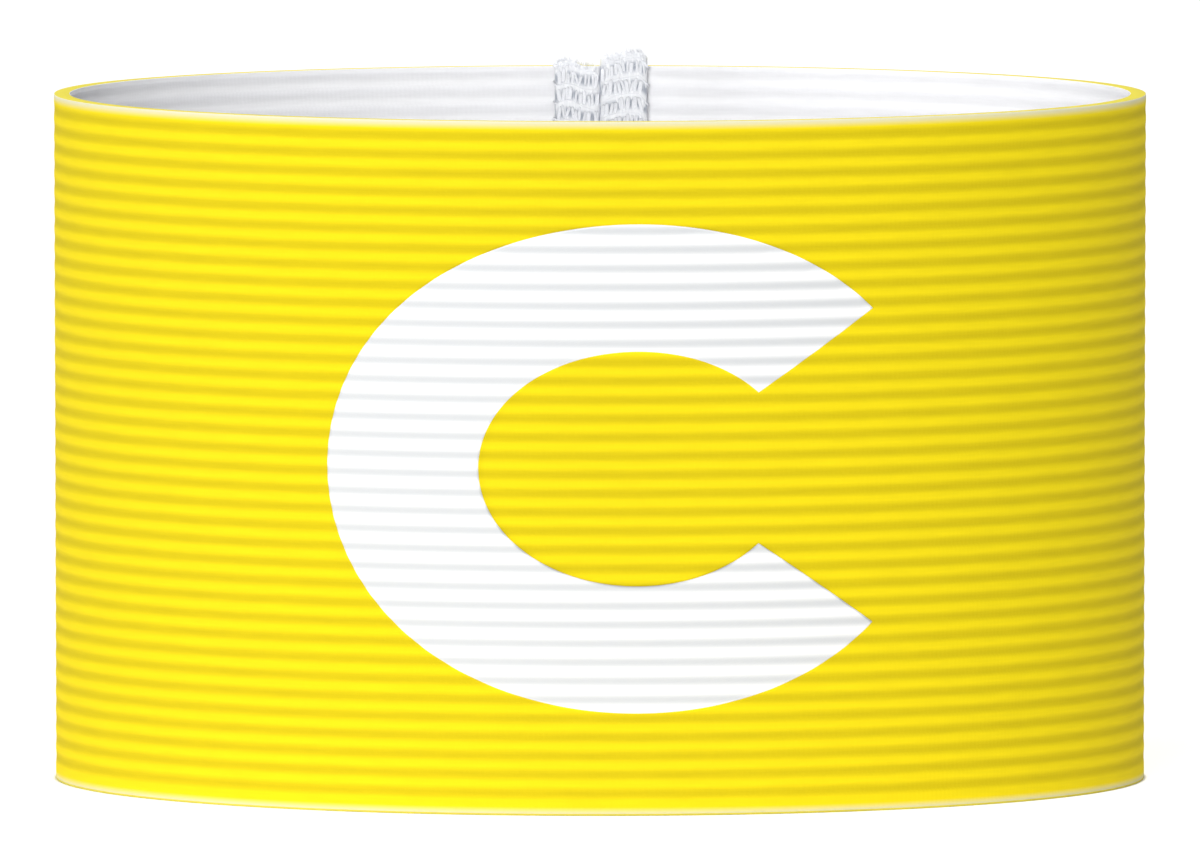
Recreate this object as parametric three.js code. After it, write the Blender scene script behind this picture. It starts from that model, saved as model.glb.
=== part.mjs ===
// A captain's armband: one strip of ribbed elastic bent into a ring, its two ends turned in and sewn
// together at the back, with a plain letter pressed on the front.
// Millimetres, +Z up. The ring stands on its lower rim and its axis is Z. The front faces -Y and the
// seam is at +Y.

import * as THREE from "three";

// Driving dimensions of the elastic band
const bandHeight = 65;
const bandDiameter = 103.6; // over the ribs, at the upper rim
const lowerRimDrawIn = 0.3; // how much less the lower rim measures across
const elasticThickness = 1.5; // from the ribs' crests to the plain back

// Ribs that run round the outside, with a narrow groove between each two
const ribPitch = 1.756;
const grooveWidth = 0.85;
const grooveDepth = 0.28;
const edgeRib = 1.4; // from the upper rim to the first groove

// Seam at the back: each end of the strip turns in and lies behind the wall
const seamGap = 0.3; // between the two folds
const turnInGap = 0.3; // between a turned-in end and the wall
const leftEndReach = 4.3; // from the seam to the cut edge, on the -X side
const rightEndReach = 4.5;
const leftEndRise = 0.6; // how far the end stands above the rim where it is highest
const rightEndRise = 1.5;

// How each end rises between its fold and its cut edge: along is a share of that flat stretch, and rise
// is a share of the end's own rise
const leftEndRises = [
  { along: 0, rise: 0.15 },
  { along: 0.35, rise: 0.8 },
  { along: 0.65, rise: 1 },
  { along: 1, rise: 0.45 },
];
const rightEndRises = [
  { along: 0, rise: 0.8 },
  { along: 0.4, rise: 0.93 },
  { along: 0.75, rise: 1 },
  { along: 1, rise: 0.6 },
];

// Letter on the front, centred on the band's height and on the front
const letterHeight = 45.8;
const letterWidth = 53.4; // measured round the band
const letterSideStroke = 15.2; // at the left, half way up
const letterArmStroke = 11.9; // at the top and at the bottom
const letterMouth = 40; // degrees from the middle of the mouth to each end of the stroke
const letterThickness = 0.3;
const letterGap = 0.2; // between the film and the ribs' crests

// Fineness of the facets
const wallSteps = 34;
const foldSteps = 4;
const letterSteps = 28; // along the stroke
const strokeSteps = 3; // across it

const outerRadius = bandDiameter / 2;
const halfThickness = elasticThickness / 2;
const seamAzimuth = Math.PI / 2;
const fullTurn = 2 * Math.PI;

// Share of the upper rim's width that the band has at a height: it draws in evenly towards the lower rim.
function widthShareAt(z) {
  return 1 - (lowerRimDrawIn / bandDiameter) * (1 - z / bandHeight);
}

// Outline of the strip's cut end as a closed loop: up the ribbed side, over the rim and down the plain
// back. "out" is measured from the middle of the thickness towards the ribbed side.
function stripProfile() {
  const profile = [{ out: halfThickness, z: 0 }];
  const grooves = Math.floor((bandHeight - 2 * edgeRib) / ribPitch) + 1;
  for (let groove = grooves - 1; groove >= 0; groove -= 1) {
    const middle = bandHeight - edgeRib - groove * ribPitch;
    profile.push({ out: halfThickness, z: middle - grooveWidth / 2 });
    profile.push({ out: halfThickness - grooveDepth, z: middle });
    profile.push({ out: halfThickness, z: middle + grooveWidth / 2 });
  }
  profile.push({ out: halfThickness, z: bandHeight });
  profile.push({ out: -halfThickness, z: bandHeight });
  profile.push({ out: -halfThickness, z: 0 });
  return profile;
}

// Plan of the middle of the strip's thickness, as arcs that follow each other: the left end, its fold,
// the wall all the way round by the front, the right fold and the right end.
function stripPlan() {
  const wallRadius = outerRadius - halfThickness;
  const foldRadius = (elasticThickness + turnInGap) / 2;
  const foldCentreRadius = wallRadius - foldRadius;
  const endRadius = foldCentreRadius - foldRadius;
  const foldTurn = Math.asin((seamGap / 2 + foldRadius + halfThickness) / foldCentreRadius);
  const leftTurn = Math.asin(leftEndReach / endRadius);
  const rightTurn = Math.asin(rightEndReach / endRadius);

  const arcAboutAxis = (radius, from, to, clockwise) =>
    new THREE.EllipseCurve(0, 0, radius, radius, from, to, clockwise);
  const foldAt = (azimuth, from) => {
    const x = foldCentreRadius * Math.cos(azimuth);
    const y = foldCentreRadius * Math.sin(azimuth);
    return new THREE.EllipseCurve(x, y, foldRadius, foldRadius, from, from + Math.PI, false);
  };
  const leftFold = seamAzimuth + foldTurn;
  const rightFold = seamAzimuth + fullTurn - foldTurn;
  return {
    leftEnd: arcAboutAxis(endRadius, seamAzimuth + leftTurn, leftFold, true),
    leftFold: foldAt(leftFold, leftFold - Math.PI),
    wall: arcAboutAxis(wallRadius, leftFold, rightFold, false),
    rightFold: foldAt(rightFold, rightFold),
    rightEnd: arcAboutAxis(endRadius, rightFold, seamAzimuth + fullTurn - rightTurn, true),
    wallBehindLeftEnd: (leftTurn - foldTurn) / (fullTurn - 2 * foldTurn),
    wallBehindRightEnd: (rightTurn - foldTurn) / (fullTurn - 2 * foldTurn),
  };
}

// A place on the plan where the strip's profile stands: its middle, the direction of its ribbed side and
// how far it is lifted.
function sectionOn(curve, share, lift) {
  const middle = curve.getPoint(share);
  const along = curve.getTangent(share);
  return { middle, outwards: new THREE.Vector2(along.y, -along.x), lift };
}

// All places of the profile, from the left cut edge to the right one. A fold takes up its end's lift
// gradually. The wall has a section of its own behind each cut edge, so that it stays parallel to the
// turned-in end.
function stripSections() {
  const plan = stripPlan();
  const sections = [];

  const leftRows = [...leftEndRises].reverse();
  for (const row of leftRows) {
    sections.push(sectionOn(plan.leftEnd, 1 - row.along, row.rise * leftEndRise));
  }
  const leftFoldLift = leftEndRises[0].rise * leftEndRise;
  for (let step = 1; step < foldSteps; step += 1) {
    const share = step / foldSteps;
    sections.push(sectionOn(plan.leftFold, share, leftFoldLift * (1 - share)));
  }

  sections.push(sectionOn(plan.wall, 0, 0));
  const from = plan.wallBehindLeftEnd;
  const to = 1 - plan.wallBehindRightEnd;
  for (let step = 0; step <= wallSteps; step += 1) {
    sections.push(sectionOn(plan.wall, THREE.MathUtils.lerp(from, to, step / wallSteps), 0));
  }
  sections.push(sectionOn(plan.wall, 1, 0));

  const rightFoldLift = rightEndRises[0].rise * rightEndRise;
  for (let step = 1; step < foldSteps; step += 1) {
    const share = step / foldSteps;
    sections.push(sectionOn(plan.rightFold, share, rightFoldLift * share));
  }
  for (const row of rightEndRises) {
    sections.push(sectionOn(plan.rightEnd, row.along, row.rise * rightEndRise));
  }
  return sections;
}

// A closed geometry from its corners and its triangles.
function closedGeometry(corners, triangles) {
  const geometry = new THREE.BufferGeometry();
  geometry.setFromPoints(corners);
  geometry.setIndex(triangles);
  geometry.computeVertexNormals();
  return geometry;
}

// The band: the profile carried along all sections, closed by the two cut edges.
function bandGeometry() {
  const profile = stripProfile();
  const sections = stripSections();
  const corners = [];
  for (const { middle, outwards, lift } of sections) {
    for (const { out, z } of profile) {
      const height = z + lift;
      const share = widthShareAt(height);
      const x = (middle.x + outwards.x * out) * share;
      const y = (middle.y + outwards.y * out) * share;
      corners.push(new THREE.Vector3(x, y, height));
    }
  }

  const triangles = [];
  const count = profile.length;
  for (let section = 0; section < sections.length - 1; section += 1) {
    for (let point = 0; point < count; point += 1) {
      const here = section * count + point;
      const above = section * count + ((point + 1) % count);
      triangles.push(here, here + count, above + count);
      triangles.push(here, above + count, above);
    }
  }
  const outline = profile.map(({ out, z }) => new THREE.Vector2(out, z));
  const lastSection = (sections.length - 1) * count;
  for (const [a, b, c] of THREE.ShapeUtils.triangulateShape(outline, [])) {
    triangles.push(a, b, c);
    triangles.push(lastSection + c, lastSection + b, lastSection + a);
  }
  return closedGeometry(corners, triangles);
}

// A point of the letter's flat drawing, laid round the front of the band. "across" runs from the middle
// of the front to the right, and "out" is the height over the ribs' crests.
function onFront(across, z, out) {
  const radius = outerRadius * widthShareAt(z) + out;
  const turn = across / outerRadius;
  return new THREE.Vector3(radius * Math.sin(turn), -radius * Math.cos(turn), z);
}

// The letter: an oval ring, open on the right, as a net of small cells that bends with the band. The
// net's face and back are joined by walls along its four sides.
function letterGeometry() {
  const mouth = THREE.MathUtils.degToRad(letterMouth);
  const ovalHalfWidth = letterWidth / (1 + Math.cos(mouth));
  const ovalMiddle = ovalHalfWidth - letterWidth / 2;
  const corners = [];
  for (const out of [letterGap, letterGap + letterThickness]) {
    for (let step = 0; step <= letterSteps; step += 1) {
      const angle = THREE.MathUtils.lerp(mouth, fullTurn - mouth, step / letterSteps);
      for (let column = 0; column <= strokeSteps; column += 1) {
        const inset = 1 - column / strokeSteps;
        const across = ovalMiddle + (ovalHalfWidth - letterSideStroke * inset) * Math.cos(angle);
        const up = (letterHeight / 2 - letterArmStroke * inset) * Math.sin(angle);
        corners.push(onFront(across, bandHeight / 2 + up, out));
      }
    }
  }

  const columns = strokeSteps + 1;
  const back = (step, column) => step * columns + column;
  const face = (step, column) => (letterSteps + 1) * columns + back(step, column);
  const triangles = [];
  const fourSided = (a, b, c, d) => triangles.push(a, b, c, a, c, d);
  const wallBetween = (here, there) =>
    fourSided(back(...here), back(...there), face(...there), face(...here));
  for (let step = 0; step < letterSteps; step += 1) {
    for (let column = 0; column < strokeSteps; column += 1) {
      const cell = [
        [step, column],
        [step, column + 1],
        [step + 1, column + 1],
        [step + 1, column],
      ];
      fourSided(...cell.map((corner) => face(...corner)));
      fourSided(...cell.map((corner) => back(...corner)).reverse());
    }
    wallBetween([step, strokeSteps], [step + 1, strokeSteps]);
    wallBetween([step + 1, 0], [step, 0]);
  }
  for (let column = 0; column < strokeSteps; column += 1) {
    wallBetween([0, column], [0, column + 1]);
    wallBetween([letterSteps, column + 1], [letterSteps, column]);
  }
  return closedGeometry(corners, triangles);
}

// A sub-part under its own name, with a matt faceted finish of its own colour.
function namedMesh(name, geometry, color, roughness) {
  const material = new THREE.MeshStandardMaterial({ color, roughness, metalness: 0, flatShading: true });
  const mesh = new THREE.Mesh(geometry, material);
  mesh.name = name;
  return mesh;
}

const armband = new THREE.Group();
armband.add(namedMesh("elastic_band", bandGeometry(), 0xffe81c, 0.75));
armband.add(namedMesh("captain_letter", letterGeometry(), 0xfafafa, 0.6));

export default armband;
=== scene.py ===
"""A captain's armband: a ring of ribbed elastic with a plain letter pressed on its front.

The strip's face is yellow and its back is white. Its two ends are turned in at the back of the ring, sewn to
each other and overlocked. Sizes in the classes are millimetres, and meshes are written in metres.
"""

import logging
import math
from abc import ABC, abstractmethod
from dataclasses import dataclass, replace
from enum import Enum
from typing import NamedTuple

import bpy
import numpy as np
from bpy.types import Material, Node, NodeSocket, NodeTree, Object
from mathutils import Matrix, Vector


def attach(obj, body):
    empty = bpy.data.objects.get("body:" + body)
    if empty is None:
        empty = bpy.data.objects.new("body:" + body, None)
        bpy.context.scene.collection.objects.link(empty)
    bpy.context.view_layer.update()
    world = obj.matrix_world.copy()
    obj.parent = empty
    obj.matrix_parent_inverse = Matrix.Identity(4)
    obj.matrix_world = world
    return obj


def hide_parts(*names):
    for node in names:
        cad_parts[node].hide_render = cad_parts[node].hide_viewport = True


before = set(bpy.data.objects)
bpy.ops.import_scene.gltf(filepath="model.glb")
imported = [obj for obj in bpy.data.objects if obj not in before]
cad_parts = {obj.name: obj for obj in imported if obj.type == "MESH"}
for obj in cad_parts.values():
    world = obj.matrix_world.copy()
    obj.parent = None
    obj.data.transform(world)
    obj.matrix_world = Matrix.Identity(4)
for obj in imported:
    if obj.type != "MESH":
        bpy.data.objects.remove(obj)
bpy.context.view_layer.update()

logging.basicConfig(level=logging.INFO, format="%(message)s")
log = logging.getLogger("armband")

METRES = 0.001  # metres in a millimetre
FULL_TURN = 2 * math.pi
QUARTER_TURN = math.pi / 2
UPRIGHT = np.array([0.0, 0.0, 1.0])
SIDEWAYS = np.array([1.0, 0.0, 0.0])
ASKEW = np.array([0.83, 0.47, 0.3])  # a direction that hardly any loose fibre has
BODY = "root"
STRIP_UV = "along_strip"
RIB = "rib"
COLOUR_MIX = {"data_type": "RGBA"}
COLOUR_PRODUCT = {"data_type": "RGBA", "blend_type": "MULTIPLY"}
COLOUR_A, COLOUR_B, COLOUR_RESULT = 6, 7, 2  # a colour mix's sockets
SMOOTH_RANGE = {"interpolation_type": "SMOOTHSTEP"}


class Side(Enum):
    """The side of the back seam that an end of the strip lies on, seen from the front."""

    LEFT = -1
    RIGHT = 1


class StripPart(Enum):
    """What a stretch of the strip's surface is, as the number of its material slot."""

    FACE = 0
    BACK = 1
    RIM = 2
    END = 3


def smoothstep(low: float, high: float, value: np.ndarray) -> np.ndarray:
    """Rises from 0 at low to 1 at high, level at both ends.

    Args:
        low: Value where the rise starts.
        high: Value where it ends.
        value: Where it is wanted.

    Returns:
        3 t squared less 2 t cubed, where t is the share of the way from low to high.
    """
    share = np.clip((value - low) / (high - low), 0.0, 1.0)
    return share * share * (3 - 2 * share)


def put_in_scene(
    name: str,
    points: np.ndarray,
    faces: list[np.ndarray],
    materials: list[Material],
    face_materials: np.ndarray | None = None,
    uv: np.ndarray | None = None,
    rib: np.ndarray | None = None,
) -> Object:
    """Makes a smooth-shaded mesh object from whole arrays.

    Args:
        name: The piece's name.
        points: Corners in millimetres, one row each.
        faces: Arrays of faces, each array with faces of one number of corners.
        materials: The piece's finishes, in slot order.
        face_materials: Slot number of each face, in the order of faces.
        uv: Place of each corner on the strip, in metres along it and up it.
        rib: How high each corner lies on its rib, from 0 in a groove to 1 on a crest.

    Returns:
        The object, linked to the scene, unturned and unscaled at the origin.
    """
    mesh = bpy.data.meshes.new(name)
    listed = [face for group in faces for face in group.tolist()]
    mesh.from_pydata((points * METRES).tolist(), [], listed)
    for material in materials:
        mesh.materials.append(material)
    if face_materials is not None:
        mesh.polygons.foreach_set("material_index", face_materials.astype(np.int32))
    mesh.polygons.foreach_set("use_smooth", np.ones(len(listed), dtype=bool))
    if uv is not None:
        corner_of_loop = np.empty(len(mesh.loops), dtype=np.int32)
        mesh.loops.foreach_get("vertex_index", corner_of_loop)
        layer = mesh.uv_layers.new(name=STRIP_UV)
        layer.data.foreach_set("uv", uv[corner_of_loop].astype(np.float32).ravel())
    if rib is not None:
        attribute = mesh.attributes.new(name=RIB, type="FLOAT", domain="POINT")
        attribute.data.foreach_set("value", rib.astype(np.float32))
    mesh.update()
    piece = bpy.data.objects.new(name, mesh)
    bpy.context.scene.collection.objects.link(piece)
    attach(piece, BODY)
    log.info("%s: %d triangles", name, sum(len(face) - 2 for face in listed))
    return piece


def net_faces(rows: int, columns: int, closed: bool) -> np.ndarray:
    """Four-sided faces of a net of corners stored row by row.

    Args:
        rows: Number of rows.
        columns: Corners in a row.
        closed: Whether each row's last corner joins its first.

    Returns:
        One row of four corner numbers for each face.
    """
    row = np.arange(rows - 1)[:, None] * columns
    here = np.arange(columns if closed else columns - 1)[None, :]
    there = (here + 1) % columns
    corners = [row + here, row + columns + here, row + columns + there, row + there]
    return np.stack(corners, axis=-1).reshape(-1, 4)


def unit(vectors: np.ndarray) -> np.ndarray:
    """Vectors of the same directions, each 1 long."""
    return vectors / np.linalg.norm(vectors, axis=-1, keepdims=True)


def thread_tubes(
    paths: np.ndarray, radii: np.ndarray, sides: int, across: np.ndarray, flatness: float = 1.0
) -> tuple[np.ndarray, list[np.ndarray]]:
    """Threads along many paths at once, round or pressed flat.

    A thread's ring at each point is the point plus its radius times (cosine of an angle times a first
    direction plus its sine times a second). The first direction is the one given, less its part along the
    path. The second is square to both, and is shortened by the flatness. Flat ends close each thread.

    Args:
        paths: Points of the threads in millimetres, as threads by points by 3.
        radii: Radius at each point, as threads by points.
        sides: Corners round a thread.
        across: Direction that is never along the paths, as one vector or one for each point.
        flatness: Share of its width that a thread is thick.

    Returns:
        The corners, and the list of face arrays.
    """
    threads, length, _ = paths.shape
    along = unit(np.gradient(paths, axis=1))
    given = np.broadcast_to(across, paths.shape)
    first = unit(given - along * np.sum(given * along, axis=-1, keepdims=True))
    second = np.cross(along, first) * flatness
    angle = np.arange(sides) * FULL_TURN / sides
    ring = np.cos(angle)[:, None] * first[:, :, None, :] + np.sin(angle)[:, None] * second[:, :, None, :]
    corners = paths[:, :, None, :] + radii[:, :, None, None] * ring
    one = net_faces(length, sides, closed=True)[:, ::-1]
    starts = np.arange(threads)[:, None, None] * (length * sides)
    walls = (one[None] + starts).reshape(-1, 4)
    first_cap = np.arange(sides)[::-1] + starts[:, 0]
    last_cap = np.arange(sides) + (length - 1) * sides + starts[:, 0]
    return corners.reshape(-1, 3), [walls, first_cap, last_cap]


class Rise(NamedTuple):
    """How high a turned-in end stands at one place.

    The place is a share of the way from the fold to the cut edge, and the height is one of the end's rise.
    """

    along: float
    height: float


@dataclass(frozen=True)
class SeamEnd:
    """One turned-in end of the strip."""

    side: Side
    reach: float  # from the seam to the cut edge
    rise: float  # over the rim, where the end is highest
    rises: tuple[Rise, ...]
    dyed_rim: float  # from the seam to where the rim turns white

    @property
    def label(self) -> str:
        """The end's side, as a word for the names of its pieces."""
        return self.side.name.lower()

    def rise_along(self, share: np.ndarray) -> np.ndarray:
        """Height over the rim at shares of the way from the fold to the cut edge."""
        along, height = np.array(self.rises).T
        return self.rise * np.interp(share, along, height)


@dataclass(frozen=True)
class Elastic:
    """Sizes of the ribbed elastic and of the ring that it is sewn into."""

    height: float = 65.0
    diameter: float = 103.6  # over the ribs, at the upper rim
    draw_in: float = 0.3  # how much less the lower rim measures across
    thickness: float = 1.5
    rib_pitch: float = 1.756
    edge_rib: float = 1.4  # from the upper rim to the first groove
    groove_floor: float = 0.06  # half the width of a groove's level floor
    crest_start: float = 0.78  # from a groove's middle to the level top of the rib
    groove_depth: float = 0.05
    back_rib_depth: float = 0.14
    back_edge_rib: float = 0.5  # from the upper rim to the back's first groove
    rim_rounding: float = 0.04
    seam_gap: float = 0.01  # between the two folds
    seam_pinch: float = 0.9  # share of the ribs that is pressed flat where the folds meet
    fold_squareness: float = 8.0  # power of the folds' squared circle, where 2 is a circle
    turn_in_gap: float = 0.3  # between a turned-in end and the wall
    left_end: SeamEnd = SeamEnd(
        side=Side.LEFT,
        reach=4.3,
        rise=0.6,
        rises=(Rise(0.0, 0.15), Rise(0.35, 0.8), Rise(0.65, 1.0), Rise(1.0, 0.45)),
        dyed_rim=2.1,
    )
    right_end: SeamEnd = SeamEnd(
        side=Side.RIGHT,
        reach=4.5,
        rise=1.5,
        rises=(Rise(0.0, 0.8), Rise(0.4, 0.93), Rise(0.75, 1.0), Rise(1.0, 0.6)),
        dyed_rim=0.0,
    )

    @property
    def half(self) -> float:
        """Half the thickness."""
        return self.thickness / 2

    @property
    def outer_radius(self) -> float:
        """Radius over the ribs' crests at the upper rim."""
        return self.diameter / 2

    @property
    def wall_radius(self) -> float:
        """Radius of the middle of the wall's thickness."""
        return self.outer_radius - self.half

    @property
    def fold_radius(self) -> float:
        """Radius at which the middle of the thickness turns in at the seam."""
        return (self.thickness + self.turn_in_gap) / 2

    @property
    def fold_centre_radius(self) -> float:
        """Distance of the folds' centres from the ring's axis."""
        return self.wall_radius - self.fold_radius

    @property
    def end_radius(self) -> float:
        """Radius of the middle of a turned-in end's thickness."""
        return self.fold_centre_radius - self.fold_radius

    @property
    def fold_reach(self) -> float:
        """Distance of a fold's centre from the seam."""
        return self.seam_gap / 2 + self.fold_radius + self.half

    @property
    def fold_turn(self) -> float:
        """Angle of a fold's centre from the seam, about the ring's axis."""
        return math.asin(self.fold_reach / self.fold_centre_radius)

    @property
    def fold_outside(self) -> float:
        """Radius of the outside of a fold."""
        return self.fold_radius + self.half

    @property
    def grooves(self) -> int:
        """Number of grooves that fit between the two edge ribs."""
        return math.floor((self.height - 2 * self.edge_rib) / self.rib_pitch) + 1

    @property
    def groove_heights(self) -> np.ndarray:
        """Heights of the grooves' middles, from the top down."""
        return self.height - self.edge_rib - np.arange(self.grooves) * self.rib_pitch

    def width_share(self, z: np.ndarray) -> np.ndarray:
        """Share of the upper rim's width that the ring has at a height."""
        return 1 - self.draw_in / self.diameter * (1 - z / self.height)

    def rib(self, z: np.ndarray) -> np.ndarray:
        """How high the face lies on its rib: a smooth step of the distance from the nearest groove's middle.

        Args:
            z: Height on the strip.

        Returns:
            0 in a groove and 1 on a crest.
        """
        pitches = (self.height - self.edge_rib - z) / self.rib_pitch
        nearest = np.clip(np.round(pitches), 0, self.grooves - 1)
        distance = np.abs(pitches - nearest) * self.rib_pitch
        return smoothstep(self.groove_floor, self.crest_start, distance)

    def back_rib(self, z: np.ndarray) -> np.ndarray:
        """How high the back lies on its shallow rib: a raised cosine, level near both rims.

        Args:
            z: Height on the strip.

        Returns:
            0 in a groove and 1 on a crest.
        """
        pitches = (self.height - self.back_edge_rib - z) / self.rib_pitch
        wave = 0.5 - 0.5 * np.cos(FULL_TURN * pitches)
        from_rim = np.minimum(z, self.height - z)
        return 1 - (1 - wave) * smoothstep(0.0, self.back_edge_rib, from_rim)

    def face_radius(self, z: np.ndarray) -> np.ndarray:
        """Distance of the wall's face from the axis at a height."""
        relief = self.groove_depth * (self.rib(z) - 1)
        return (self.outer_radius + relief) * self.width_share(z)


def linear(hex_colour: str) -> tuple[float, float, float, float]:
    """Turns a colour to linear light, by the curve of the sRGB standard.

    Args:
        hex_colour: The colour as sRGB hex.

    Returns:
        Red, green, blue and a full alpha.
    """
    digits = hex_colour.lstrip("#")
    shares = [int(digits[i : i + 2], 16) / 255 for i in (0, 2, 4)]
    return (*(s / 12.92 if s <= 0.04045 else ((s + 0.055) / 1.055) ** 2.4 for s in shares), 1.0)


def add_node(
    tree: NodeTree, kind: str, settings: dict | None = None, inputs: dict | None = None
) -> Node:
    """Adds a node with its settings and its inputs.

    Args:
        tree: The material's node tree.
        kind: The node's type.
        settings: Values of the node's own properties.
        inputs: For each socket, by name or number, a value or the output that is linked to it.

    Returns:
        The new node.
    """
    node = tree.nodes.new(kind)
    for name, value in (settings or {}).items():
        setattr(node, name, value)
    for socket, value in (inputs or {}).items():
        if isinstance(value, NodeSocket):
            tree.links.new(value, node.inputs[socket])
        else:
            node.inputs[socket].default_value = value
    return node


@dataclass(frozen=True)
class Finish(ABC):
    """What all finishes have: a name, a fine relief in millimetres, and the shader's own plain values."""

    name: str
    relief: float
    relief_strength: float = 0.6
    noise_detail: float = 2.0
    roughness: float = 0.8
    specular: float = 0.2

    @abstractmethod
    def pattern(self, tree: NodeTree) -> tuple[NodeSocket, NodeSocket]:
        """Works out what differs from place to place.

        Args:
            tree: The material's node tree.

        Returns:
            The colour, and the height of the fine relief.
        """

    def material(self) -> Material:
        """Makes the material: the finish's pattern, on a shader with the plain values.

        Returns:
            The material.
        """
        material = bpy.data.materials.new(self.name)
        material.use_nodes = True
        tree = material.node_tree
        shader = tree.nodes["Principled BSDF"]
        shader.inputs["Roughness"].default_value = self.roughness
        shader.inputs["Specular IOR Level"].default_value = self.specular
        colour, height = self.pattern(tree)
        tree.links.new(colour, shader.inputs["Base Color"])
        inputs = {"Strength": self.relief_strength, "Distance": self.relief * METRES, "Height": height}
        bump = add_node(tree, "ShaderNodeBump", None, inputs)
        tree.links.new(bump.outputs[0], shader.inputs["Normal"])
        return material

    def yarn_streaks(self, tree: NodeTree, place: NodeSocket, grain: tuple[float, float]) -> NodeSocket:
        """Noise with long grains, as yarns beside each other give it.

        Args:
            tree: The material's node tree.
            place: Place on the strip, in metres along it and up it.
            grain: Size of a grain along the strip and up it, in millimetres.

        Returns:
            The noise.
        """
        scale = (1 / (grain[0] * METRES), 1 / (grain[1] * METRES), 1.0)
        mapped = add_node(tree, "ShaderNodeMapping", None, {"Vector": place, "Scale": scale})
        inputs = {"Vector": mapped.outputs[0], "Scale": 1.0, "Detail": self.noise_detail}
        return add_node(tree, "ShaderNodeTexNoise", {"noise_dimensions": "2D"}, inputs).outputs[0]

    def even_grain(self, tree: NodeTree, size: float) -> NodeSocket:
        """Noise with round grains.

        Args:
            tree: The material's node tree.
            size: Size of a grain in millimetres.

        Returns:
            The noise.
        """
        place = add_node(tree, "ShaderNodeTexCoord").outputs["Object"]
        inputs = {"Vector": place, "Scale": 1 / (size * METRES), "Detail": self.noise_detail}
        return add_node(tree, "ShaderNodeTexNoise", None, inputs).outputs[0]


@dataclass(frozen=True)
class WovenFinish(Finish):
    """Ribbed polyester elastic, woven with covered rubber threads in its ribs.

    Matt yarn gives a broad soft light, the grooves between the ribs are darkened by painted shade, and the
    yarns that cross the ribs leave a fine even grain. The dye fades to the bare yarn at the woven edges.
    """

    relief: float = 0.012
    crest: str = "#ffffff"
    painted_groove_shade: str = "#c8c8c8"
    faded: str = "#ffffff"
    edge_fade: float = 0.0
    streak: tuple[float, float] = (5.0, 0.35)
    streak_contrast: float = 0.1
    darkest_streak: float = 0.95
    yarn_pitch: float = 0.5
    yarn_height: float = 0.35  # beside loose fibres of height 1
    fibre: tuple[float, float] = (0.5, 0.12)
    elastic: Elastic = Elastic()

    def pattern(self, tree: NodeTree) -> tuple[NodeSocket, NodeSocket]:
        """Paints shade into the grooves of the ribs, streaks the yarn's tone, and fades the dye at both
        woven edges.

        Args:
            tree: The material's node tree.

        Returns:
            The colour, and the height of the fine relief.
        """
        place = add_node(tree, "ShaderNodeUVMap", {"uv_map": STRIP_UV}).outputs[0]
        along, up = add_node(tree, "ShaderNodeSeparateXYZ", None, {0: place}).outputs[:2]
        rib = add_node(tree, "ShaderNodeAttribute", {"attribute_name": RIB}).outputs["Fac"]

        # painted shade: the rib attribute mixes the darker groove colour into the grooves, where shade falls
        inputs = {0: rib, COLOUR_A: linear(self.painted_groove_shade), COLOUR_B: linear(self.crest)}
        colour = add_node(tree, "ShaderNodeMix", COLOUR_MIX, inputs).outputs[COLOUR_RESULT]
        streaks = self.yarn_streaks(tree, place, self.streak)
        inputs = {0: streaks, 1: self.streak_contrast, 2: self.darkest_streak}
        shade = add_node(tree, "ShaderNodeMath", {"operation": "MULTIPLY_ADD"}, inputs).outputs[0]
        inputs = {0: 1.0, COLOUR_A: colour, COLOUR_B: shade}
        colour = add_node(tree, "ShaderNodeMix", COLOUR_PRODUCT, inputs).outputs[COLOUR_RESULT]

        upper_rim, reach = self.elastic.height * METRES, self.edge_fade * METRES
        fades = [(upper_rim - reach, upper_rim), (reach, 0.0)] if self.edge_fade else []
        for start, rim in fades:
            inputs = {"Value": up, "From Min": start, "From Max": rim}
            fade = add_node(tree, "ShaderNodeMapRange", SMOOTH_RANGE, inputs).outputs[0]
            inputs = {0: fade, COLOUR_A: colour, COLOUR_B: linear(self.faded)}
            colour = add_node(tree, "ShaderNodeMix", COLOUR_MIX, inputs).outputs[COLOUR_RESULT]
        return colour, self.cross_yarns(tree, place, along, up)

    def cross_yarns(
        self, tree: NodeTree, place: NodeSocket, along: NodeSocket, up: NodeSocket
    ) -> NodeSocket:
        """Yarns that cross the ribs, each rib half a yarn out of step, with loose fibres over them.

        They are a sine of the distance along the strip plus half a yarn's pitch times the rib's number.

        Args:
            tree: The material's node tree.
            place: Place on the strip.
            along: The place's distance along the strip.
            up: The place's height.

        Returns:
            The height of the relief.
        """
        inputs = {0: up, 1: 1 / (self.elastic.rib_pitch * METRES)}
        rows = add_node(tree, "ShaderNodeMath", {"operation": "MULTIPLY"}, inputs).outputs[0]
        row = add_node(tree, "ShaderNodeMath", {"operation": "FLOOR"}, {0: rows}).outputs[0]
        inputs = {0: row, 1: self.yarn_pitch * METRES / 2, 2: along}
        shifted = add_node(tree, "ShaderNodeMath", {"operation": "MULTIPLY_ADD"}, inputs).outputs[0]
        inputs = {0: shifted, 1: FULL_TURN / (self.yarn_pitch * METRES)}
        turn = add_node(tree, "ShaderNodeMath", {"operation": "MULTIPLY"}, inputs).outputs[0]
        yarns = add_node(tree, "ShaderNodeMath", {"operation": "SINE"}, {0: turn}).outputs[0]
        inputs = {0: yarns, 1: self.yarn_height, 2: self.yarn_streaks(tree, place, self.fibre)}
        return add_node(tree, "ShaderNodeMath", {"operation": "MULTIPLY_ADD"}, inputs).outputs[0]


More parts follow.
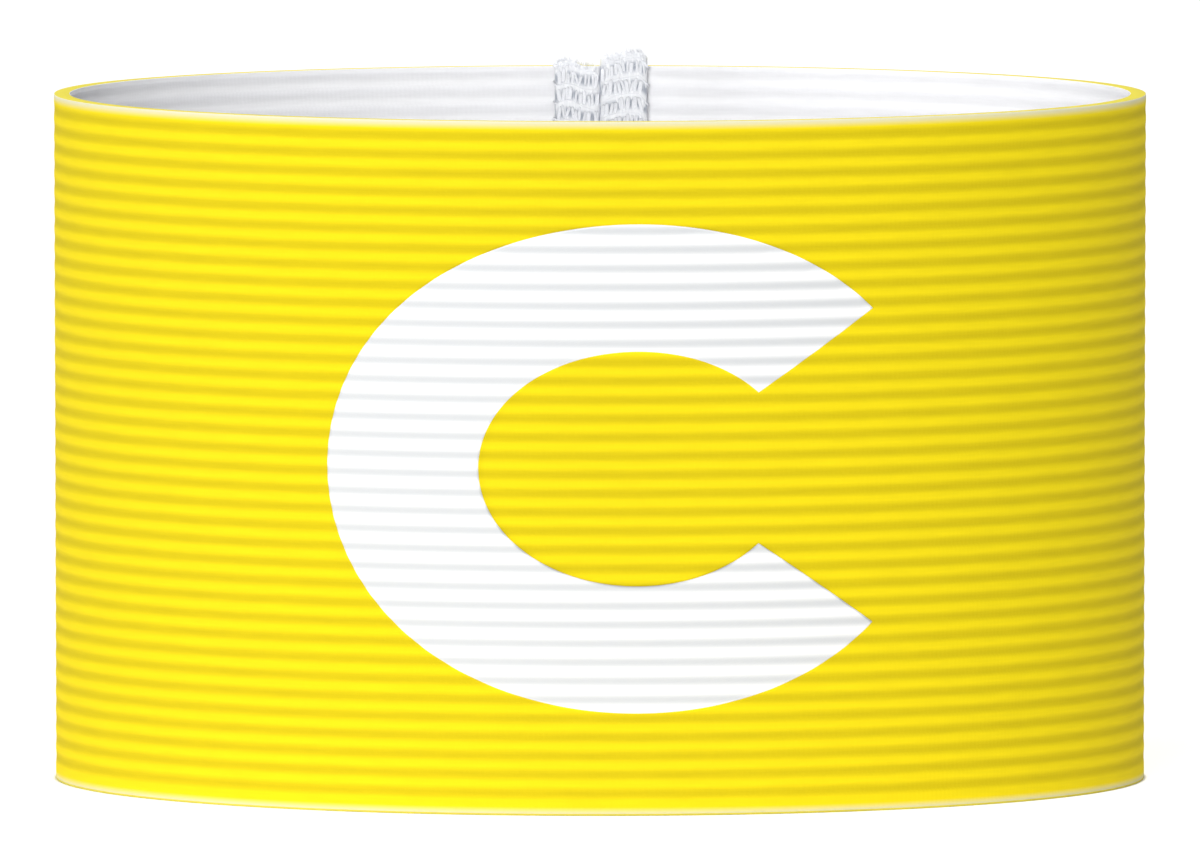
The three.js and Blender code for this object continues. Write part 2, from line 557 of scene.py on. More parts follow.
@dataclass(frozen=True)
class CutYarnFinish(Finish):
    """White yarn ends of the undyed strip, roughed up by cutting and sewing.

    Short upright shadows are painted between the bundles of yarn, in rows as far apart as the ribs.
    """

    relief: float = 0.04
    light: str = "#fafbfd"
    shadow: str = "#b0b5bf"
    bundle: tuple[float, float] = (0.28, 1.6)
    shadow_noise: tuple[float, float] = (0.35, 0.55)  # where a shadow begins, and where it is full
    crest_shadow: float = 0.1  # share of a shadow that is left on a crest

    def pattern(self, tree: NodeTree) -> tuple[NodeSocket, NodeSocket]:
        """Paints upright shadow streaks between the bundles, darkest in the grooves.

        Args:
            tree: The material's node tree.

        Returns:
            The colour, and the height of the fine relief.
        """
        place = add_node(tree, "ShaderNodeUVMap", {"uv_map": STRIP_UV}).outputs[0]
        rib = add_node(tree, "ShaderNodeAttribute", {"attribute_name": RIB}).outputs["Fac"]
        streaks = self.yarn_streaks(tree, place, self.bundle)
        inputs = {"Value": streaks, "From Min": self.shadow_noise[0], "From Max": self.shadow_noise[1]}
        dark = add_node(tree, "ShaderNodeMapRange", SMOOTH_RANGE, inputs).outputs[0]
        inputs = {0: 1 + self.crest_shadow, 1: rib}
        low = add_node(tree, "ShaderNodeMath", {"operation": "SUBTRACT"}, inputs).outputs[0]
        settings = {"operation": "MULTIPLY", "use_clamp": True}
        painted_shadow_share = add_node(tree, "ShaderNodeMath", settings, {0: dark, 1: low}).outputs[0]
        # painted shadow: the shadow colour fills the gaps between bundles, most of all in the grooves
        inputs = {0: painted_shadow_share, COLOUR_A: linear(self.light), COLOUR_B: linear(self.shadow)}
        return add_node(tree, "ShaderNodeMix", COLOUR_MIX, inputs).outputs[COLOUR_RESULT], streaks


@dataclass(frozen=True)
class FlexFilmFinish(Finish):
    """Matt white flex film, hot-pressed into the ribs: even and clean, with painted shade that makes it a
    little greyer in the grooves.
    """

    relief: float = 0.006
    light: str = "#fbfbfb"
    painted_groove_shade: str = "#d2d4d6"
    grain: float = 0.35

    def pattern(self, tree: NodeTree) -> tuple[NodeSocket, NodeSocket]:
        """Paints shade into the grooves of the ribs that show through the film, and gives it a faint pressed
        grain.

        Args:
            tree: The material's node tree.

        Returns:
            The colour, and the height of the fine relief.
        """
        rib = add_node(tree, "ShaderNodeAttribute", {"attribute_name": RIB}).outputs["Fac"]
        # painted shade: the rib attribute mixes the grey groove colour into the film's grooves
        inputs = {0: rib, COLOUR_A: linear(self.painted_groove_shade), COLOUR_B: linear(self.light)}
        colour = add_node(tree, "ShaderNodeMix", COLOUR_MIX, inputs).outputs[COLOUR_RESULT]
        return colour, self.even_grain(tree, self.grain)


@dataclass(frozen=True)
class ThreadFinish(Finish):
    """Textured polyester sewing thread: soft crimped filaments that scatter light, with faint dark gaps."""

    relief: float = 0.02
    light: str = "#fcfcfe"
    shadow: str = "#dfe2e8"
    filament: float = 0.12  # several times the real thickness, so that it shows

    def pattern(self, tree: NodeTree) -> tuple[NodeSocket, NodeSocket]:
        """Shades the filaments and raises them by the same noise.

        Args:
            tree: The material's node tree.

        Returns:
            The colour, and the height of the fine relief.
        """
        noise = self.even_grain(tree, self.filament)
        inputs = {0: noise, COLOUR_A: linear(self.shadow), COLOUR_B: linear(self.light)}
        return add_node(tree, "ShaderNodeMix", COLOUR_MIX, inputs).outputs[COLOUR_RESULT], noise


@dataclass(frozen=True)
class PlanArc:
    """An arc of the strip's plan, as whole arrays with one value for each of its points.

    The facing is 1 where the strip's face is away from the arc's centre and -1 where it is towards it. The
    relief is the share of their full depth that the ribs have, and the swell is how far the face stands out
    over the even thickness.
    """

    centre: np.ndarray
    radius: float
    facing: int
    angles: np.ndarray
    lifts: np.ndarray
    relief: np.ndarray
    swell: np.ndarray
    undyed: np.ndarray
    undyed_rim: np.ndarray

    @property
    def outwards(self) -> np.ndarray:
        """Directions of the points from the arc's centre."""
        return np.stack([np.cos(self.angles), np.sin(self.angles)], axis=-1)

    @property
    def middle(self) -> np.ndarray:
        """The points, in the middle of the strip's thickness."""
        return self.centre + self.radius * self.outwards

    @property
    def to_face(self) -> np.ndarray:
        """Directions from the points to the strip's face."""
        return self.facing * self.outwards

    def turned_round(self) -> "PlanArc":
        """The same arc with its points in the other order."""
        along = ("angles", "lifts", "relief", "swell", "undyed", "undyed_rim")
        return replace(self, **{name: getattr(self, name)[::-1] for name in along})


@dataclass
class RibbedStrip:
    """The elastic strip: its wall, its two folds at the seam and its turned-in ends, as one closed mesh."""

    elastic: Elastic
    wall_steps: int = 112
    fold_steps: int = 16
    end_steps: int = 5
    rounding_steps: int = 3
    rib_shares: tuple[float, ...] = (-0.38, -0.26, -0.14, 0.0, 0.14, 0.26, 0.38, 0.5)
    edge_shares: tuple[float, ...] = (0.1, 0.5)

    def heights(self) -> np.ndarray:
        """Heights of the corners on one side, close together where a groove bends most.

        Each groove has the same set of places, as shares of the rib pitch from its middle, and a few more
        fill the edge ribs up to the roundings of the rims.

        Returns:
            The heights, from the lowest up.
        """
        band = self.elastic
        shares = np.array(self.rib_shares)
        places = np.sort((band.groove_heights[:, None] + shares * band.rib_pitch).ravel())
        low, high = band.rim_rounding, band.height - band.rim_rounding
        places = places[(places > low) & (places < high)]
        below = low + (places[0] - low) * np.array(self.edge_shares)
        above = places[-1] + (high - places[-1]) * np.array(self.edge_shares)
        return np.concatenate([[low], below, places, above, [high]])

    def profile(self) -> tuple[np.ndarray, np.ndarray, np.ndarray, np.ndarray, np.ndarray]:
        """The strip's cross-section as a closed loop: up the face, over the rim, down the back and under it.

        The upper rim's two roundings go with the face and the back, and the woven edge below takes in the
        lowest step of the face.

        Returns:
            Height over the middle of the thickness without the ribs, what the ribs take from it, height over
            the floor, rib height, and the part of the strip that runs from each corner to the next.
        """
        band = self.elastic
        z = self.heights()
        angles = np.linspace(0, QUARTER_TURN, self.rounding_steps + 1)[1:]
        round_out = band.half - band.rim_rounding * (1 - np.cos(angles))
        round_up = band.height - band.rim_rounding * (1 - np.sin(angles))
        over_out = np.concatenate([round_out, -round_out[::-1]])
        over_z = np.concatenate([round_up, round_up[::-1]])
        side, rim = len(z), len(over_z)
        level, plain = np.full(side, band.half), np.ones(rim)
        out = np.concatenate([level, over_out, -level, -over_out])
        height = np.concatenate([z, over_z, z[::-1], band.height - over_z])
        rib = np.concatenate([band.rib(z), plain, band.back_rib(z)[::-1], plain])
        depth = np.repeat([-band.groove_depth, band.back_rib_depth], side + rim)
        parts = np.full(len(out), StripPart.RIM.value)
        parts[1 : side - 1 + rim // 2] = StripPart.FACE.value
        parts[side + rim // 2 : 2 * side + rim - 1] = StripPart.BACK.value
        return out, depth * (1 - rib), height, rib, parts

    def end_arcs(self, end: SeamEnd) -> tuple[PlanArc, PlanArc]:
        """The arcs of one end.

        Over the fold the ribs are pressed flat where the two folds meet: their relief is 1 less the pinch
        times the squared sine of the turn. On its inner half the fold's outside is a squared circle, whose
        radius is the circle's own over the root of the summed powers of the turn's cosine and sine.

        Args:
            end: The end.

        Returns:
            The flat stretch, from the fold to the cut edge, and the fold, from the wall to the flat stretch.
        """
        band = self.elastic
        turning = -end.side.value
        from_seam = turning * band.fold_turn
        to_edge = turning * math.asin(end.reach / band.end_radius)
        share = np.linspace(0, 1, self.end_steps + 1)
        angles = QUARTER_TURN + from_seam + (to_edge - from_seam) * share
        flat = PlanArc(
            centre=np.zeros(2),
            radius=band.end_radius,
            facing=-1,
            angles=angles,
            lifts=end.rise_along(share),
            relief=np.ones(len(share)),
            swell=np.zeros(len(share)),
            undyed=np.full(len(share), True),
            undyed_rim=np.abs(angles - QUARTER_TURN) * band.end_radius > end.dyed_rim,
        )

        share = np.linspace(0, 1, self.fold_steps + 1)[1:-1]
        middle = QUARTER_TURN + from_seam
        inner = share >= 0.5
        turn = np.where(inner, math.pi * (share - 0.5), 0.0)
        power = band.fold_squareness
        squared = (np.cos(turn) ** power + np.sin(turn) ** power) ** (-1 / power)
        fold = PlanArc(
            centre=band.fold_centre_radius * np.array([math.cos(middle), math.sin(middle)]),
            radius=band.fold_radius,
            facing=1,
            angles=middle - turning * math.pi * share,
            lifts=end.rise_along(np.zeros(1)) * share,
            relief=1 - band.seam_pinch * np.sin(math.pi * share) ** 2,
            swell=band.fold_outside * (squared - 1),
            undyed=inner,
            undyed_rim=inner & (end.dyed_rim == 0),
        )
        return flat, fold

    def arcs(self) -> list[PlanArc]:
        """The plan of the middle of the thickness.

        Returns:
            The arcs, from the left cut edge to the right one.
        """
        band = self.elastic
        left_flat, left_fold = self.end_arcs(band.left_end)
        right_flat, right_fold = self.end_arcs(band.right_end)
        first = QUARTER_TURN + band.fold_turn
        points = self.wall_steps + 1
        wall = PlanArc(
            centre=np.zeros(2),
            radius=band.wall_radius,
            facing=1,
            angles=np.linspace(first, first + FULL_TURN - 2 * band.fold_turn, points),
            lifts=np.zeros(points),
            relief=np.ones(points),
            swell=np.zeros(points),
            undyed=np.full(points, False),
            undyed_rim=np.full(points, False),
        )
        return [left_flat.turned_round(), left_fold.turned_round(), wall, right_fold, right_flat]

    def build(self, finishes: dict[StripPart, Material]) -> tuple[Object, float]:
        """Carries the profile along the plan.

        A corner is the plan's point plus the profile's height over the middle times the direction of the
        face, drawn in towards the lower rim, at the profile's own height plus the lift.

        Args:
            finishes: The finish of each part of the strip.

        Returns:
            The strip, and its length from cut edge to cut edge in millimetres.
        """
        band = self.elastic
        out, ribbing, z, rib, parts = self.profile()
        arcs = self.arcs()
        names = ("middle", "to_face", "lifts", "relief", "swell", "undyed", "undyed_rim")
        middle, facing, lift, relief, swell, undyed, undyed_rim = (
            np.concatenate([getattr(arc, name) for arc in arcs]) for name in names
        )
        steps = np.linalg.norm(np.diff(middle, axis=0), axis=1)
        distance = np.concatenate([[0.0], np.cumsum(steps)])

        height = z[None, :] + lift[:, None]
        to_face = np.maximum(out, 0) / band.half
        offset = out[None, :] + relief[:, None] * ribbing[None, :] + swell[:, None] * to_face[None, :]
        plan = middle[:, None, :] + facing[:, None, :] * offset[..., None]
        plan = plan * band.width_share(height)[..., None]
        points = np.concatenate([plan, height[..., None]], axis=-1)
        rows, columns = height.shape
        rim = parts == StripPart.RIM.value
        bare = (undyed[:-1] & undyed[1:])[:, None] & ~rim
        bare |= (undyed_rim[:-1] & undyed_rim[1:])[:, None] & rim
        face_parts = np.where(bare, StripPart.END.value, parts)
        caps = self.cut_edges(rows, columns)
        uv = np.stack(np.broadcast_arrays(distance[:, None], z[None, :]), axis=-1) * METRES
        strip = put_in_scene(
            "ribbed_strip",
            points.reshape(-1, 3),
            [net_faces(rows, columns, closed=True), caps],
            [finishes[part] for part in StripPart],
            np.concatenate([face_parts.ravel(), np.full(len(caps), StripPart.END.value)]),
            uv.reshape(-1, 2),
            np.broadcast_to(rib, (rows, columns)).ravel(),
        )
        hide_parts("elastic_band")
        return strip, float(distance[-1])

    def cut_edges(self, rows: int, columns: int) -> np.ndarray:
        """Faces that close both cut edges, each joining two corners of the face to the two behind them.

        Args:
            rows: Number of profiles along the plan.
            columns: Corners of the profile.

        Returns:
            One row of four corner numbers for each face.
        """
        side = len(self.heights())
        rounding = columns // 2 - side
        near = np.arange(-(rounding // 2), side + rounding // 2 - 1)
        behind = 2 * side + rounding - 1 - near
        start = np.stack([near, near + 1, behind - 1, behind], axis=-1) % columns
        return np.concatenate([start, start[:, ::-1] + (rows - 1) * columns])


@dataclass
class PressedLetter:
    """The plain letter on the front: a thin film with the shape of the ribs that it is pressed on."""

    elastic: Elastic
    height: float = 45.8
    width: float = 53.4
    side_stroke: float = 15.2
    arm_stroke: float = 11.9
    mouth: float = 40.0
    gap: float = 0.02
    thickness: float = 0.07
    steps_along: int = 520
    steps_across: int = 56

    def build(self, finish: Material) -> Object:
        """Lays the letter's net on the front of the band.

        The net runs along an oval ring, from one end of the mouth to the other, and across the stroke. Its
        inner oval is narrower by both side strokes and lower by both arm strokes. A corner's turn about the
        axis is its distance from the letter's middle over the band's radius, and its distance from the axis
        is that of the ribbed face at its height, plus the film.

        Args:
            finish: The film's finish.

        Returns:
            The letter.
        """
        band = self.elastic
        mouth = math.radians(self.mouth)
        oval_half_width = self.width / (1 + math.cos(mouth))
        oval_middle = oval_half_width - self.width / 2
        angle = np.linspace(mouth, FULL_TURN - mouth, self.steps_along + 1)[:, None]
        inset = np.linspace(1, 0, self.steps_across + 1)[None, :]
        across = oval_middle + (oval_half_width - self.side_stroke * inset) * np.cos(angle)
        z = band.height / 2 + (self.height / 2 - self.arm_stroke * inset) * np.sin(angle)
        turn = across / band.outer_radius
        layers = []
        for lift in (self.gap + self.thickness, self.gap):
            radius = band.face_radius(z) + lift
            layers.append(np.stack([radius * np.sin(turn), -radius * np.cos(turn), z], axis=-1))
        rows, columns = z.shape
        face = net_faces(rows, columns, closed=False)[:, ::-1]
        back = face[:, ::-1] + rows * columns
        letter = put_in_scene(
            "pressed_letter",
            np.stack(layers).reshape(-1, 3),
            [face, back, self.edge_faces(rows, columns)],
            [finish],
            rib=np.tile(band.rib(z).ravel(), 2),
        )
        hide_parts("captain_letter")
        return letter

    @staticmethod
    def edge_faces(rows: int, columns: int) -> np.ndarray:
        """Faces of the film's narrow edge, round all four sides of its net.

        Args:
            rows: Corners along the letter.
            columns: Corners across its stroke.

        Returns:
            One row of four corner numbers for each face.
        """
        number = np.arange(rows * columns).reshape(rows, columns)
        loop = np.concatenate([number[:-1, 0], number[-1, :-1], number[:0:-1, -1], number[0, :0:-1]])
        following = np.roll(loop, -1)
        below = rows * columns
        return np.stack([loop, following, following + below, loop + below], axis=-1)


@dataclass
class SeamEndSurface:
    """Places on the visible side of a turned-in end, for what is sewn on it."""

    elastic: Elastic
    end: SeamEnd
    nearest: float = 0.27  # from the seam to the first yarn
    lift_lost: float = 0.5  # share of the fold's lift that is gone at the seam

    def place(self, reach: np.ndarray, up: np.ndarray, z: np.ndarray) -> np.ndarray:
        """Turns places on a turned-in end to points.

        The visible side lies at the end's own radius less half the thickness. Over the fold it drops away as
        a squared circle does, and the rise follows the end's table from the fold to the cut edge.

        Args:
            reach: Distance from the seam, in millimetres.
            up: Height over the visible side, towards the ring's axis.
            z: Height on the strip, before the end's rise.

        Returns:
            Points in millimetres.
        """
        band = self.elastic
        power = band.fold_squareness
        into_fold = np.clip((band.fold_reach - reach) / band.fold_outside, 0, 1)
        drop = band.fold_outside * (1 - (1 - into_fold**power) ** (1 / power))
        flat_share = np.clip((reach - band.fold_reach) / (self.end.reach - band.fold_reach), 0, 1)
        over_fold = 1 - self.lift_lost * into_fold
        height = z + self.end.rise_along(flat_share) * over_fold
        radius = (band.end_radius - band.half - up + drop) * band.width_share(height)
        turn = self.end.side.value * reach / band.end_radius
        return np.stack([radius * np.sin(turn), radius * np.cos(turn), height], axis=-1)


@dataclass
class YarnFloats:
    """Upright yarn floats over the grooves of a turned-in end, in columns from the seam to the cut edge.

    A float's stray is how far it lies from its even place, as a standard deviation, and so is its lean. A
    pair of shares is the least and the most of the plain size that a float has.
    """

    surface: SeamEndSurface
    pitch: float = 0.41
    edge_margin: float = 0.25  # from the last column to the cut edge, at least
    half_length: float = 0.7
    length_shares: tuple[float, float] = (0.7, 1.08)
    radius: float = 0.175
    flatness: float = 0.3
    arch: float = 0.12
    sunk: float = 0.03  # how deep both ends lie in the yarn
    thickness_shares: tuple[float, float] = (0.6, 1.3)
    tip: float = 0.04
    bluntness: int = 4
    lean: float = 0.1
    stray_aside: float = 0.07
    stray_up: float = 0.1
    points: int = 9
    sides: int = 8

    def tubes(self, chance: np.random.Generator) -> tuple[np.ndarray, list[np.ndarray]]:
        """Lays the floats.

        Each is a short thread from one rib's crest to the next, raised in its middle as a half sine. Its
        radius is a root of a little over 1 less the same power of the share of the way to its end.

        Args:
            chance: Source of the small differences.

        Returns:
            The corners, and the list of face arrays.
        """
        band, end, nearest = self.surface.elastic, self.surface.end, self.surface.nearest
        count = int((end.reach - self.edge_margin - nearest) / self.pitch) + 1
        columns = nearest + np.arange(count) * self.pitch
        z0, reach0 = (grid.ravel()[:, None] for grid in np.meshgrid(band.groove_heights, columns))
        share = np.linspace(-1, 1, self.points)[None, :]
        shape = (z0.shape[0], 1)
        lean = chance.normal(0, self.lean, shape)
        aside = chance.normal(0, self.stray_aside, shape)
        length = self.half_length * chance.uniform(*self.length_shares, shape)
        z = z0 + chance.normal(0, self.stray_up, shape) + share * length
        reach = np.maximum(reach0 + aside + share * lean, nearest)
        arch = self.arch * np.cos(share * QUARTER_TURN)
        up = arch * chance.uniform(*self.thickness_shares, shape) - self.sunk
        paths = self.surface.place(reach, up, z)
        taper = (1 + self.tip - share**self.bluntness) ** (1 / self.bluntness)
        radii = self.radius * chance.uniform(*self.thickness_shares, shape) * taper
        return thread_tubes(paths, radii, self.sides, SIDEWAYS, self.flatness)


@dataclass
class LockingThreads:
    """Threads across a turned-in end along each rib's crest, slanting round the cut edge to the hidden side.

    They lie thin and deep in the yarn, and are thickest where they turn round the edge. A pair that is named
    for what a thread does is where it begins that and where it ends, as shares of its way.
    """

    surface: SeamEndSurface
    radius: float = 0.11
    radius_shares: tuple[float, float] = (0.8, 1.3)
    flatness: float = 0.5
    thin_share: float = 0.3
    swelling: float = 0.8
    over: float = 0.03  # over the visible side
    edge_gap: float = 0.02
    hidden_gap: float = 0.01
    hidden_reach: float = 1.1  # from the cut edge back along the hidden side
    slant: float = 0.55
    stray: float = 0.09
    winding: float = 9.0  # turn of the stray's wave along a thread, in radians
    crosses: tuple[float, float] = (0.0, 0.62)
    turns_round: tuple[float, float] = (0.58, 0.8)
    runs_back: tuple[float, float] = (0.78, 1.0)
    slants: tuple[float, float] = (0.4, 0.72)
    swells: tuple[float, float] = (0.45, 0.62)
    points: int = 44
    sides: int = 7

    def tubes(self, chance: np.random.Generator) -> tuple[np.ndarray, list[np.ndarray]]:
        """Lays one thread along each crest: its reach, height and slant are smooth steps of its way.

        Args:
            chance: Source of the small differences.

        Returns:
            The corners, and the list of face arrays.
        """
        band, end, nearest = self.surface.elastic, self.surface.end, self.surface.nearest
        top = band.height - band.edge_rib + band.rib_pitch / 2
        rows = top - np.arange(band.grooves + 1) * band.rib_pitch
        share = np.linspace(0, 1, self.points)[None, :]
        beyond = end.reach + self.radius + self.edge_gap
        reach = nearest + (beyond - nearest) * smoothstep(*self.crosses, share)
        reach = reach - self.hidden_reach * smoothstep(*self.runs_back, share)
        under = -band.thickness - self.radius - self.hidden_gap
        up = self.over + (under - self.over) * smoothstep(*self.turns_round, share)
        shape = (len(rows), 1)
        stray = chance.normal(0, self.stray, shape)
        stray = stray * np.sin(share * self.winding + chance.uniform(0, FULL_TURN, shape))
        slant = -end.side.value * self.slant * smoothstep(*self.slants, share)
        paths = self.surface.place(reach, up, rows[:, None] + stray + slant)
        thickness = self.thin_share + self.swelling * smoothstep(*self.swells, share)
        radii = self.radius * chance.uniform(*self.radius_shares, shape) * thickness
        return thread_tubes(paths, radii, self.sides, UPRIGHT, self.flatness)


@dataclass
class OverlockedEnd:
    """The sewing on a turned-in end: rows of upright yarn floats, and the threads that lock the cut edge."""

    surface: SeamEndSurface
    seed: int = 11

    def build(self, finish: Material) -> list[Object]:
        """Builds the floats and the locking threads.

        Args:
            finish: The thread's finish.

        Returns:
            The two pieces.
        """
        end = self.surface.end
        chance = np.random.default_rng(self.seed + end.side.value)
        sewing = {"floats": YarnFloats(self.surface), "overlock": LockingThreads(self.surface)}
        made = []
        for name, threads in sewing.items():
            points, faces = threads.tubes(chance)
            piece = put_in_scene(f"seam_{name}_{end.label}", points, faces, [finish])
            made.append(piece)
        return made


@dataclass
class SeamStitches:
    """The straight seam that joins the two folds: short thread bars that show down in the valley outside."""

    elastic: Elastic
    pitch: float = 2.4
    radius: float = 0.17
    half_length: float = 0.95
    depth: float = 1.05  # from the crests to a bar's middle
    bend: float = 0.25  # how much deeper a bar's ends lie
    slant: float = 0.12
    points: int = 9
    sides: int = 8

    def build(self, finish: Material) -> Object:
        """Lays one thread bar across the seam for each stitch.

        A bar is a shallow arch: it bends into the elastic at both ends as a parabola.

        Args:
            finish: The thread's finish.

        Returns:
            The stitches, as one piece.
        """
        band = self.elastic
        count = int(band.height / self.pitch)
        z = (np.arange(count) + 0.5) * band.height / count
        share = np.linspace(-1, 1, self.points)
        shape = (count, self.points)
        x = np.broadcast_to(share * self.half_length, shape)
        y = np.broadcast_to(band.outer_radius - self.depth - self.bend * share**2, shape)
        height = z[:, None] + self.slant * share[None, :]
        scale = band.width_share(height)
        paths = np.stack([x * scale, y * scale, height], axis=-1)
        radii = np.broadcast_to(self.radius, paths.shape[:2])
        points, faces = thread_tubes(paths, radii, self.sides, UPRIGHT)
        stitches = put_in_scene("seam_stitches", points, faces, [finish])
        return stitches


@dataclass
class LooseFibres:
    """Fine fibres that stand off a turned-in end, most of them along its top.

    A pull is what an even spread of directions is drawn by: upwards on the top, and towards the ring's axis
    on the visible side.
    """

    surface: SeamEndSurface
    on_top: int = 400
    on_side: int = 200
    radius: float = 0.028
    lengths: tuple[float, float] = (0.3, 0.75)
    nearest: float = 0.3  # from the seam
    top_depth: float = 0.7  # from the rim down to the lowest root on the top
    top_ups: tuple[float, float] = (-1.3, 0.2)  # over the visible side, for roots on the top
    side_up: float = 0.1
    side_margin: float = 0.5  # from both rims, for roots on the side
    spread: float = 0.45
    top_pull: tuple[float, float, float] = (0.0, -0.15, 1.0)
    side_pull: tuple[float, float, float] = (0.0, -0.9, 0.2)
    bend: float = 0.35
    tip: float = 0.05
    points: int = 6
    sides: int = 3
    seed: int = 5

    def build(self, finish: Material) -> Object:
        """Grows curved fibres out of the end.

        A fibre is a parabola: its root, plus its length times its direction, plus a sideways bend times the
        square of the share along it. It thins evenly to its tip.

        Args:
            finish: The fibres' finish.

        Returns:
            The fibres of this end, as one piece.
        """
        band, end = self.surface.elastic, self.surface.end
        chance = np.random.default_rng(self.seed + end.side.value)
        total = self.on_top + self.on_side
        reach = chance.uniform(self.nearest, end.reach, total)
        top_z = chance.uniform(band.height - self.top_depth, band.height, self.on_top)
        side_z = chance.uniform(self.side_margin, band.height - self.side_margin, self.on_side)
        top_up = chance.uniform(*self.top_ups, self.on_top)
        up = np.concatenate([top_up, np.full(self.on_side, self.side_up)])
        root = self.surface.place(reach, up, np.concatenate([top_z, side_z]))
        direction = chance.normal(0, self.spread, (total, 3))
        direction += np.repeat([self.top_pull, self.side_pull], [self.on_top, self.on_side], axis=0)
        length = chance.uniform(*self.lengths, total)[:, None]
        bend = chance.normal(0, self.bend, (total, 3)) * length
        share = np.linspace(0, 1, self.points)[None, :, None]
        straight = root[:, None, :] + (unit(direction) * length)[:, None, :] * share
        paths = straight + bend[:, None, :] * share**2
        radii = np.broadcast_to(self.radius * (1 + self.tip - share[..., 0]), paths.shape[:2])
        points, faces = thread_tubes(paths, radii, self.sides, ASKEW)
        fibres = put_in_scene(f"loose_fibres_{end.label}", points, faces, [finish])
        return fibres


@dataclass(frozen=True)
class SoftLight:
    """A broad and distant studio light, given by its direction from the armband and its width, in degrees.

    The brightness is the light that it throws on a surface that faces it, where 1 makes white paper white.
    """

    name: str
    azimuth: float
    elevation: float
    width: float
    brightness: float


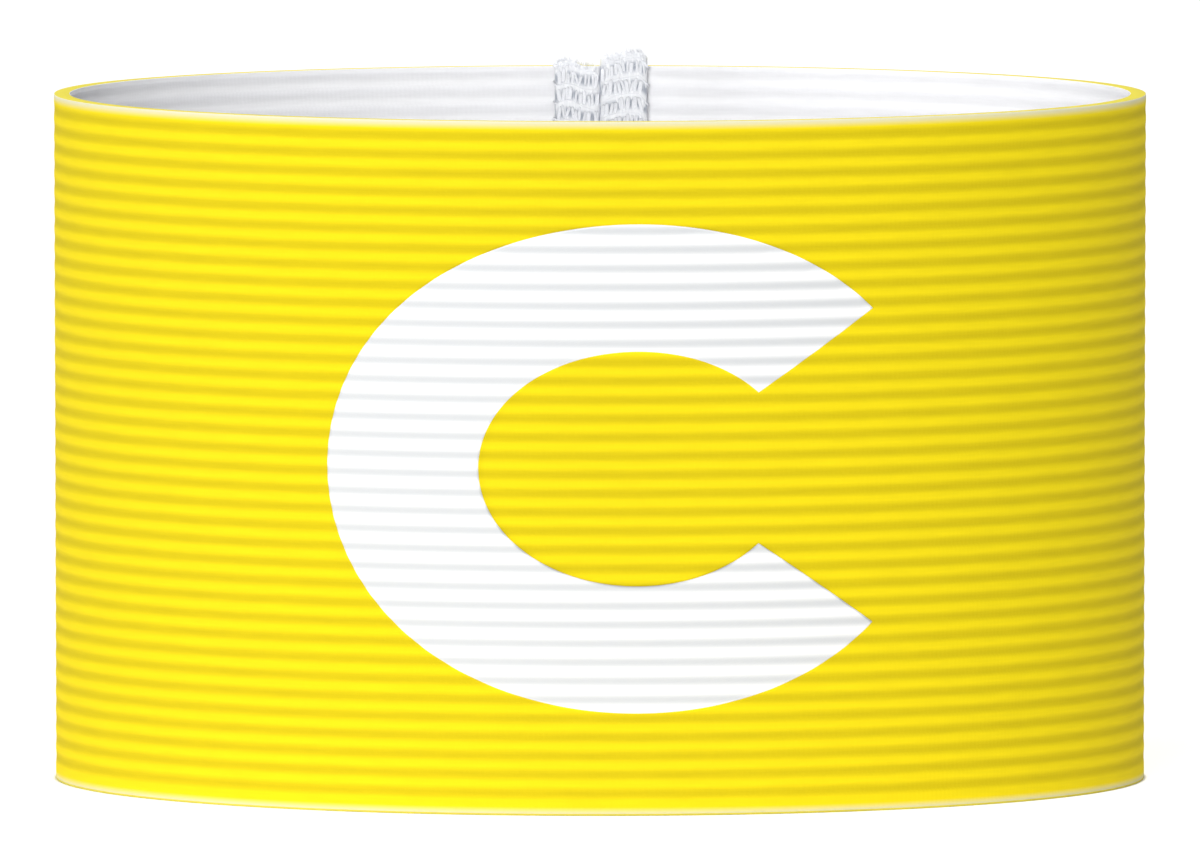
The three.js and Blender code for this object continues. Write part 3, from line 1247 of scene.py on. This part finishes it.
@dataclass
class Studio:
    """A plain pale floor, soft lights and the camera, in metres and degrees."""

    camera_elevation: float = 3.523
    camera_distance: float = 3.4
    aim_height: float = 0.03303
    pixels_per_metre: float = 10537.0  # at the aim, on a picture of the frame's width
    frame_width: float = 1200.0  # in pixels
    sensor_width: float = 36.0  # in millimetres
    floor_half_width: float = 30.0
    floor_colour: str = "#f7f7f7"
    sky_colour: str = "#f4f8ff"
    sky_brightness: float = 0.08
    light_distance: float = 3.0
    lights: tuple[SoftLight, ...] = (
        SoftLight("overhead_light", azimuth=0.0, elevation=90.0, width=0.5, brightness=0.97),
        SoftLight("front_light", azimuth=-8.0, elevation=8.0, width=14.0, brightness=0.6),
        SoftLight("side_light", azimuth=-90.0, elevation=8.0, width=14.0, brightness=0.32),
        SoftLight("fill_light", azimuth=60.0, elevation=8.0, width=14.0, brightness=0.045),
    )

    @staticmethod
    def direction(azimuth: float, elevation: float) -> Vector:
        """The direction of a place seen from the armband; azimuth 0 is the front and 90 is the right."""
        turn, rise = math.radians(azimuth), math.radians(elevation)
        return Vector((math.sin(turn) * math.cos(rise), -math.cos(turn) * math.cos(rise), math.sin(rise)))

    def aimed(self, thing: Object, azimuth: float, elevation: float, distance: float) -> None:
        """Places a camera or a light and turns it to the armband's middle.

        Args:
            thing: The camera or light.
            azimuth: Its direction round the armband.
            elevation: Its direction above the floor.
            distance: Its distance from the middle.
        """
        away = self.direction(azimuth, elevation)
        thing.location = Vector((0, 0, self.aim_height)) + away * distance
        thing.rotation_euler = (-away).to_track_quat("-Z", "Y").to_euler()
        bpy.context.scene.collection.objects.link(thing)

    def build_floor(self) -> None:
        """Lays a matt pale floor under the armband."""
        half = self.floor_half_width
        corners = np.array([[-half, -half, 0], [half, -half, 0], [half, half, 0], [-half, half, 0]])
        mesh = bpy.data.meshes.new("floor")
        mesh.from_pydata(corners.tolist(), [], [(0, 1, 2, 3)])
        material = bpy.data.materials.new("matt_paper_floor")
        material.use_nodes = True
        shader = material.node_tree.nodes["Principled BSDF"]
        shader.inputs["Base Color"].default_value = linear(self.floor_colour)
        shader.inputs["Roughness"].default_value = 1.0
        shader.inputs["Specular IOR Level"].default_value = 0.0
        mesh.materials.append(material)
        floor = bpy.data.objects.new("floor", mesh)
        bpy.context.scene.collection.objects.link(floor)

    def build_lights(self) -> None:
        """Hangs the soft lights under an even sky."""
        world = bpy.data.worlds.new("studio")
        world.use_nodes = True
        background = world.node_tree.nodes["Background"]
        background.inputs["Color"].default_value = linear(self.sky_colour)
        background.inputs["Strength"].default_value = self.sky_brightness
        bpy.context.scene.world = world
        for light in self.lights:
            lamp = bpy.data.lights.new(light.name, "SUN")
            lamp.angle = math.radians(light.width)
            lamp.energy = light.brightness * math.pi
            thing = bpy.data.objects.new(light.name, lamp)
            self.aimed(thing, light.azimuth, light.elevation, self.light_distance)

    def build_camera(self) -> None:
        """Sets up a long lens that looks slightly down on the front."""
        camera = bpy.data.cameras.new("camera")
        camera.sensor_width = self.sensor_width
        pixels_of_focus = self.pixels_per_metre * self.camera_distance
        camera.lens = pixels_of_focus * self.sensor_width / self.frame_width
        thing = bpy.data.objects.new("camera", camera)
        self.aimed(thing, 0.0, self.camera_elevation, self.camera_distance)
        bpy.context.scene.camera = thing

    def build(self) -> None:
        """Builds the floor, the lights and the camera, and shows colours as they are."""
        self.build_floor()
        self.build_lights()
        self.build_camera()
        bpy.context.scene.view_settings.view_transform = "Standard"


def strip_finishes(elastic: Elastic) -> dict[StripPart, Material]:
    """Makes the finishes of the strip's parts.

    Args:
        elastic: The elastic that they cover.

    Returns:
        A material for each part.
    """
    # the groove colours of the face and the back are painted shade in the grooves between the ribs
    face = WovenFinish(
        "yellow_polyester_rib_weave",
        specular=0.1,
        crest="#f1da15",
        painted_groove_shade="#d3bd11",
        faded="#e1ddbe",
        edge_fade=0.85,
        elastic=elastic,
    )
    back = WovenFinish("white_polyester_rib_back", crest="#fafafb", painted_groove_shade="#f1f1f3", elastic=elastic)
    rim = WovenFinish("golden_woven_edge", crest="#e3d550", painted_groove_shade="#dacb44", elastic=elastic)
    end = CutYarnFinish("white_cut_yarn_ends")
    return {
        StripPart.FACE: face.material(),
        StripPart.BACK: back.material(),
        StripPart.RIM: rim.material(),
        StripPart.END: end.material(),
    }


def main() -> None:
    elastic = Elastic()
    strip, length = RibbedStrip(elastic).build(strip_finishes(elastic))
    log.info("strip cut to %.1f by %.1f mm", elastic.height, length)
    letter = PressedLetter(elastic).build(FlexFilmFinish("white_flex_film", roughness=0.6).material())
    thread = ThreadFinish("white_textured_thread").material()
    dyed_thread = ThreadFinish("yellow_sewing_thread", light="#f2dc2a", shadow="#c9b31c").material()
    sewn = [SeamStitches(elastic).build(dyed_thread)]
    for end in (elastic.left_end, elastic.right_end):
        surface = SeamEndSurface(elastic, end)
        sewn.extend(OverlockedEnd(surface).build(thread))
        sewn.append(LooseFibres(surface).build(thread))
    Studio().build()


if __name__ == "__main__":
    main()
